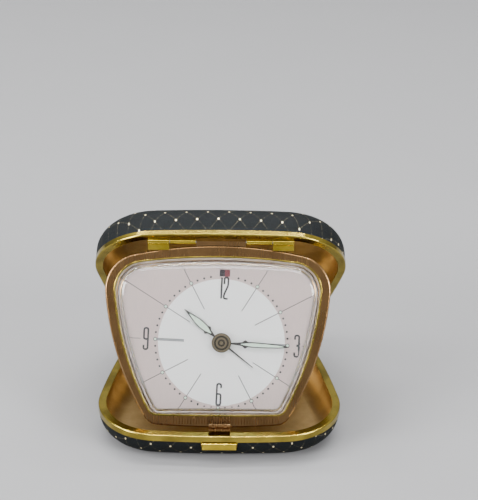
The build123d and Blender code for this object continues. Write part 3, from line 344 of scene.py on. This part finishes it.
def crystal_outline(count):
    """Evenly spaced points round the wall of the solid crystal, in millimetres on the clock."""
    solid = nodes["crystal"]
    spots = [clock_place.inverted() @ solid.matrix_world @ vertex.co for vertex in solid.data.vertices]
    wall = [spot.xy for spot in spots if WALL_HEIGHTS[0] < spot.z < WALL_HEIGHTS[1]]
    hull = [wall[index] for index in convex_hull_2d(wall)]
    steps = [(after - before).length for before, after in zip(hull, hull[1:] + hull[:1])]
    points, corner, passed = [], 0, 0.0
    for number in range(count):
        target = sum(steps) * number / count
        while passed + steps[corner] < target:
            passed += steps[corner]
            corner += 1
        following = hull[(corner + 1) % len(hull)]
        points.append(hull[corner].lerp(following, (target - passed) / steps[corner]))
    return points


def crystal_side(seat_inset, inset, height, width, rise, crown):
    """Insets and heights from the seat over a rounded shoulder to the crown."""
    quarter = [math.radians(angle) for angle in range(0, 91, 10)]
    shoulder = [(inset + width * (1 - math.cos(turn)), height + rise * math.sin(turn)) for turn in quarter]
    return [(seat_inset, SEAT_HEIGHT)] + shoulder + list(zip(CROWN_INSETS, crown))


def domed_crystal():
    """Clear cap with an outer and an inner face, joined at the seat."""
    points = crystal_outline(180)
    centre = sum(points, Vector((0, 0))) / len(points)
    outer = crystal_side(seat_inset=0.0, inset=0.1, height=1.0, width=4.6, rise=5.2, crown=(6.25, 6.28))
    inner = crystal_side(seat_inset=1.9, inset=1.9, height=2.0, width=2.4, rise=3.0, crown=(5.03, 5.05))
    top = len(outer) - 1
    form = bmesh.new()
    loops = []
    for inset, height in outer + inner[::-1]:
        loop = []
        for point in points:
            arm = point - centre
            spot = centre + arm * (1 + (WALL_OUTSET - inset) / arm.length)
            loop.append(form.verts.new((spot.x, spot.y, height)))
        loops.append(loop)
    for index, (before, after) in enumerate(zip(loops, loops[1:] + loops[:1])):
        if index == top:
            continue
        for number in range(len(points)):
            other = (number + 1) % len(points)
            form.faces.new((before[number], before[other], after[other], after[number]))
    form.faces.new(loops[top])
    form.faces.new(loops[top + 1])
    bmesh.ops.recalc_face_normals(form, faces=form.faces)
    for face in form.faces:
        face.smooth = True
    mesh = bpy.data.meshes.new("crystal_dome")
    form.to_mesh(mesh)
    form.free()
    mesh.transform(clock_place)
    mesh.materials.append(finishes["crystal"].material)
    piece = bpy.data.objects.new("crystal_dome", mesh)
    bpy.context.scene.collection.objects.link(piece)
    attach(piece, "clock")
    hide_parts("crystal")


domed_crystal()


# Dial print: radii, reaches and widths of what is printed

PRINT_LIFT = 0.01
DISC_RADIUS, DISC_HOLE, DISC_STEPS = 24.7, 2.4, 60
DOT_RING, LINE_START, OUTER_LINE_START = 25.8, 14.6, 31.5
MINUTE_DOT, HOUR_RING, HOUR_LUME = 0.42, 0.78, 0.5
HOUR_LINE, OUTER_LINE = 0.29, 0.22
BAR_WIDTH, BAR_EDGE, BAR_EDGE_PLACE = 0.95, 0.13, 0.42
NUMERAL_HEIGHT, NUMERAL_PEN, NUMERAL_ROUNDING = 8.3, 0.72, 0.75
NUMERAL_REACHES = {12: 21.2, 3: 29.4, 6: 20.4, 9: 29.4}
MINUTE_ANGLE, HOUR_ANGLE = 6, 30


def around(reach, angle):
    """Point at a reach and a clockwise angle from twelve on the tilted dial."""
    turn = math.radians(angle + DIAL_TILT)
    return (reach * math.sin(turn), reach * math.cos(turn))


def printed(name, outlines, thickness, finish):
    """One piece of flat closed outlines just over the face of the dial."""
    mesh = bpy.data.meshes.new(name)
    form = bmesh.new()
    for outline in outlines:
        low, high = ([form.verts.new((x, y, height)) for x, y in outline]
                     for height in (PRINT_LIFT, PRINT_LIFT + thickness))
        form.faces.new(low)
        form.faces.new(high)
        for index in range(len(outline)):
            form.faces.new((low[index - 1], low[index], high[index], high[index - 1]))
    bmesh.ops.recalc_face_normals(form, faces=form.faces)
    form.to_mesh(mesh)
    form.free()
    mesh.transform(dial_place)
    mesh.materials.append(finishes[finish].material)
    piece = bpy.data.objects.new(name, mesh)
    bpy.context.scene.collection.objects.link(piece)
    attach(piece, "clock")


def disc(centre, radius, count=24):
    return [(centre[0] + radius * math.cos(2 * math.pi * step / count),
             centre[1] + radius * math.sin(2 * math.pi * step / count)) for step in range(count)]


def ring(radius, width, start, end, count):
    """Arc-shaped band between two clockwise angles."""
    angles = [start + (end - start) * step / count for step in range(count + 1)]
    outer = [around(radius + width / 2, angle) for angle in angles]
    inner = [around(radius - width / 2, angle) for angle in reversed(angles)]
    return outer + inner


def stroke(points, width):
    """Quadrilaterals that draw a line through points."""
    shapes = []
    for (ax, ay), (bx, by) in zip(points, points[1:]):
        length = math.hypot(bx - ax, by - ay)
        nx, ny = -(by - ay) / length * width / 2, (bx - ax) / length * width / 2
        shapes.append([(ax + nx, ay + ny), (ax - nx, ay - ny), (bx - nx, by - ny), (bx + nx, by + ny)])
    return shapes


def rounded(points, radius, steps=6):
    """Polyline whose corners are softened."""
    path = [points[0]]
    for before, corner, after in zip(points, points[1:], points[2:]):
        ends = []
        for other in (before, after):
            reach = math.hypot(other[0] - corner[0], other[1] - corner[1])
            share = min(radius / reach, 0.5)
            ends.append(tuple(corner[axis] + (other[axis] - corner[axis]) * share for axis in (0, 1)))
        for step in range(steps + 1):
            t = step / steps
            pulls = ((1 - t) ** 2, 2 * t * (1 - t), t * t)
            path.append(tuple(pulls[0] * ends[0][axis] + pulls[1] * corner[axis] + pulls[2] * ends[1][axis]
                              for axis in (0, 1)))
    path.append(points[-1])
    return path


def joined(points, width):
    """Quadrilaterals along a polyline that share their ends."""
    left, right = [], []
    for index, (x, y) in enumerate(points):
        before = points[max(index - 1, 0)]
        after = points[min(index + 1, len(points) - 1)]
        dx, dy = after[0] - before[0], after[1] - before[1]
        length = math.hypot(dx, dy)
        nx, ny = -dy / length * width / 2, dx / length * width / 2
        left.append((x + nx, y + ny))
        right.append((x - nx, y - ny))
    return [[left[index], right[index], right[index + 1], left[index + 1]]
            for index in range(len(points) - 1)]


# Pen paths of the figures, as shares of their width and height
DIGITS = {
    "1": [[(-0.35, 0.93), (0.0, 0.99), (0.0, 0.0)]],
    "2": [[(-0.5, 0.68), (-0.5, 1.0), (0.5, 1.0), (0.5, 0.62), (-0.5, 0.18), (-0.5, 0.0), (0.55, 0.0)]],
    "3": [[(-0.5, 0.80), (-0.5, 1.0), (0.5, 1.0), (0.5, 0.54), (-0.1, 0.52)],
          [(-0.1, 0.52), (0.5, 0.50), (0.5, 0.0), (-0.5, 0.0), (-0.5, 0.20)]],
    "6": [[(0.5, 0.80), (0.5, 1.0), (-0.5, 1.0), (-0.5, 0.0), (0.5, 0.0), (0.5, 0.52), (-0.5, 0.52)]],
    "9": [[(-0.5, 0.20), (-0.5, 0.0), (0.5, 0.0), (0.5, 1.0), (-0.5, 1.0), (-0.5, 0.48), (0.5, 0.48)]],
}
DIGIT_WIDTHS = {"1": 0.5, "2": 1.5, "3": 1.6, "6": 1.6, "9": 1.6}
DIGIT_PLACES = {"12": (-1.0, 0.75)}


def numeral(text, centre):
    """Tall narrow figures drawn with an even pen."""
    shapes = []
    tilt = math.radians(-DIAL_TILT)
    for digit, left in zip(text, DIGIT_PLACES.get(text, (0.0,))):
        width = DIGIT_WIDTHS[digit]
        for line in DIGITS[digit]:
            drawn = [(left + x * width, (y - 0.5) * NUMERAL_HEIGHT) for x, y in line]
            path = rounded(drawn, NUMERAL_ROUNDING)
            turned = [(x * math.cos(tilt) - y * math.sin(tilt) + centre[0],
                       x * math.sin(tilt) + y * math.cos(tilt) + centre[1]) for x, y in path]
            shapes += joined(turned, NUMERAL_PEN)
    return shapes


# Right half of the window's edge from the dial's centre, and the shift of its middle line
WINDOW_HALF = [(0, 33.0), (20, 32.3), (33, 30.2), (39.2, 25.0), (39.5, 18.0),
               (36.5, 0.2), (32.8, -12.0), (28.0, -22.5), (25.0, -27.4), (0, -28.2)]
WINDOW_SHIFT = -1.5
WINDOW = [(x + WINDOW_SHIFT, y) for x, y in WINDOW_HALF]
WINDOW += [(WINDOW_SHIFT - x, y) for x, y in WINDOW_HALF[-2:0:-1]]
PARALLEL = 1e-9


def edge_reach(angle):
    """Distance from the dial's centre to the edge of the window at a clockwise angle."""
    dx, dy = around(1.0, angle)
    best = math.inf
    for (ax, ay), (bx, by) in zip(WINDOW, WINDOW[1:] + WINDOW[:1]):
        cross = dx * (by - ay) - dy * (bx - ax)
        if abs(cross) < PARALLEL:
            continue
        reach = (ax * (by - ay) - ay * (bx - ax)) / cross
        along = (ax * dy - ay * dx) / cross
        if reach > 0 and 0 <= along <= 1:
            best = min(best, reach)
    return best


middle, band = (DISC_RADIUS + DISC_HOLE) / 2, DISC_RADIUS - DISC_HOLE
halves = [ring(middle, band, start, start + 180, DISC_STEPS) for start in (0, 180)]
printed("dial_disc", halves, 0.03, "dial_white")
dots, lines, circles, fills, bars, bar_edges = [], [], [], [], [], []
for minute in range(60):
    if minute % 5 or minute == 0:
        if minute not in (59, 0, 1):
            dots.append(disc(around(DOT_RING, MINUTE_ANGLE * minute), MINUTE_DOT, 12))
        continue
    hour = minute // 5
    angle = HOUR_ANGLE * hour
    spot = around(DOT_RING, angle)
    circles.append(disc(spot, HOUR_RING))
    fills.append(disc(spot, HOUR_LUME))
    edge = around(edge_reach(angle), angle)
    if hour in (3, 9):
        lines += stroke([around(OUTER_LINE_START, angle), edge], OUTER_LINE)
        ends = [around(LINE_START, angle), spot]
        bars += stroke(ends, BAR_WIDTH)
        for side in (-1, 1):
            bar_edges += stroke([(x, y + side * BAR_EDGE_PLACE) for x, y in ends], BAR_EDGE)
    elif hour != 6:
        lines += stroke([around(LINE_START, angle), edge], HOUR_LINE)
printed("dial_minute_dots", dots, 0.05, "print_black")
printed("dial_hour_lines", lines, 0.05, "print_grey")
printed("dial_quarter_bars", bars, 0.055, "bar_grey")
printed("dial_quarter_lines", bar_edges, 0.06, "print_grey")
printed("dial_hour_rings", circles, 0.065, "print_grey")
printed("dial_hour_lume", fills, 0.10, "lume")
for hour, reach in NUMERAL_REACHES.items():
    figures = numeral(str(hour), around(reach, HOUR_ANGLE * (hour % 12)))
    printed("numeral_%d" % hour, figures, 0.05, "print_black")


# Floor, light and camera

def plane(name, half, color, shade):
    """Plain square surface under the clock, faintly clouded down to a share of its colour."""
    mesh = bpy.data.meshes.new(name)
    corners = ((-half, -half), (half, -half), (half, half), (-half, half))
    mesh.from_pydata([(x, y, 0.0) for x, y in corners], [], [(0, 1, 2, 3)])
    finish = Finish(name, color, roughness=0.85)
    soft = finish.noise(0.02, 2)
    finish.set("Base Color", finish.blend(soft, color, tuple(shade * part for part in color)))
    mesh.materials.append(finish.material)
    floor = bpy.data.objects.new(name, mesh)
    bpy.context.scene.collection.objects.link(floor)


def area_light(name, place, target, size, power):
    light = bpy.data.lights.new(name, "AREA")
    light.shape = "RECTANGLE"
    light.size, light.size_y = size
    light.energy = power
    lamp = bpy.data.objects.new(name, light)
    lamp.location = place
    lamp.rotation_euler = (Vector(target) - Vector(place)).to_track_quat("-Z", "Y").to_euler()
    bpy.context.scene.collection.objects.link(lamp)


def studio(color, horizon, zenith, rise):
    """Even surroundings that grow brighter from the horizon to a share of the way up."""
    world = bpy.data.worlds.new("studio")
    world.use_nodes = True
    sky = world.node_tree
    direction = sky.nodes.new("ShaderNodeTexCoord")
    parts = sky.nodes.new("ShaderNodeSeparateXYZ")
    strength = sky.nodes.new("ShaderNodeMapRange")
    strength.interpolation_type = "SMOOTHSTEP"
    for index, value in enumerate((0.0, 0.0, rise, horizon, zenith)):
        strength.inputs[index].default_value = value
    background = sky.nodes["Background"]
    sky.links.new(direction.outputs["Generated"], parts.inputs[0])
    sky.links.new(parts.outputs[2], strength.inputs[0])
    sky.links.new(strength.outputs[0], background.inputs["Strength"])
    background.inputs["Color"].default_value = (*color, 1)
    return world


plane("floor", half=3.0, color=(0.165, 0.165, 0.168), shade=0.96)

# Lights: place, what it points at, sides and power
area_light("strip_0", (0.0, 0.12, 0.95), (0, 0, 0.03), (1.1, 0.04), 13.0)
area_light("strip_1", (0.0, 0.45, 0.95), (0, 0, 0.03), (1.1, 0.04), 13.0)
area_light("left_strip", (-0.85, -0.15, 0.65), (0, 0, 0.05), (0.07, 0.8), 14.0)
area_light("overhead", (0.1, -0.35, 1.1), (0, 0, 0.03), (0.9, 0.5), 10.0)
area_light("left", (-1.0, -0.72, 0.55), (0, 0, 0.04), (0.4, 0.5), 29.0)
area_light("right", (1.0, -0.72, 0.55), (0, 0, 0.04), (0.4, 0.5), 29.0)

world = studio((0.95, 0.97, 1.0), horizon=0.3, zenith=0.95, rise=0.9)
bpy.context.scene.world = world

# Camera fitted to the photograph
CAMERA_PLACE = Vector((-0.0024, -0.5134, 0.3473))
CAMERA_LOOK = Vector((0.0161, 0.8818, -0.4713)).normalized()
CAMERA_ROLL = math.radians(1.064)
level = CAMERA_LOOK.cross(Vector((0, 0, 1))).normalized()
upright = level.cross(CAMERA_LOOK)
right = level * math.cos(CAMERA_ROLL) + upright * math.sin(CAMERA_ROLL)
above = upright * math.cos(CAMERA_ROLL) - level * math.sin(CAMERA_ROLL)
lens = bpy.data.cameras.new("camera")
lens.lens = 108
lens.sensor_width = 36
lens.clip_start = 0.01
camera = bpy.data.objects.new("camera", lens)
turned = Matrix((right, above, -CAMERA_LOOK)).transposed().to_4x4()
camera.matrix_world = Matrix.Translation(CAMERA_PLACE) @ turned
bpy.context.scene.collection.objects.link(camera)
bpy.context.scene.camera = camera
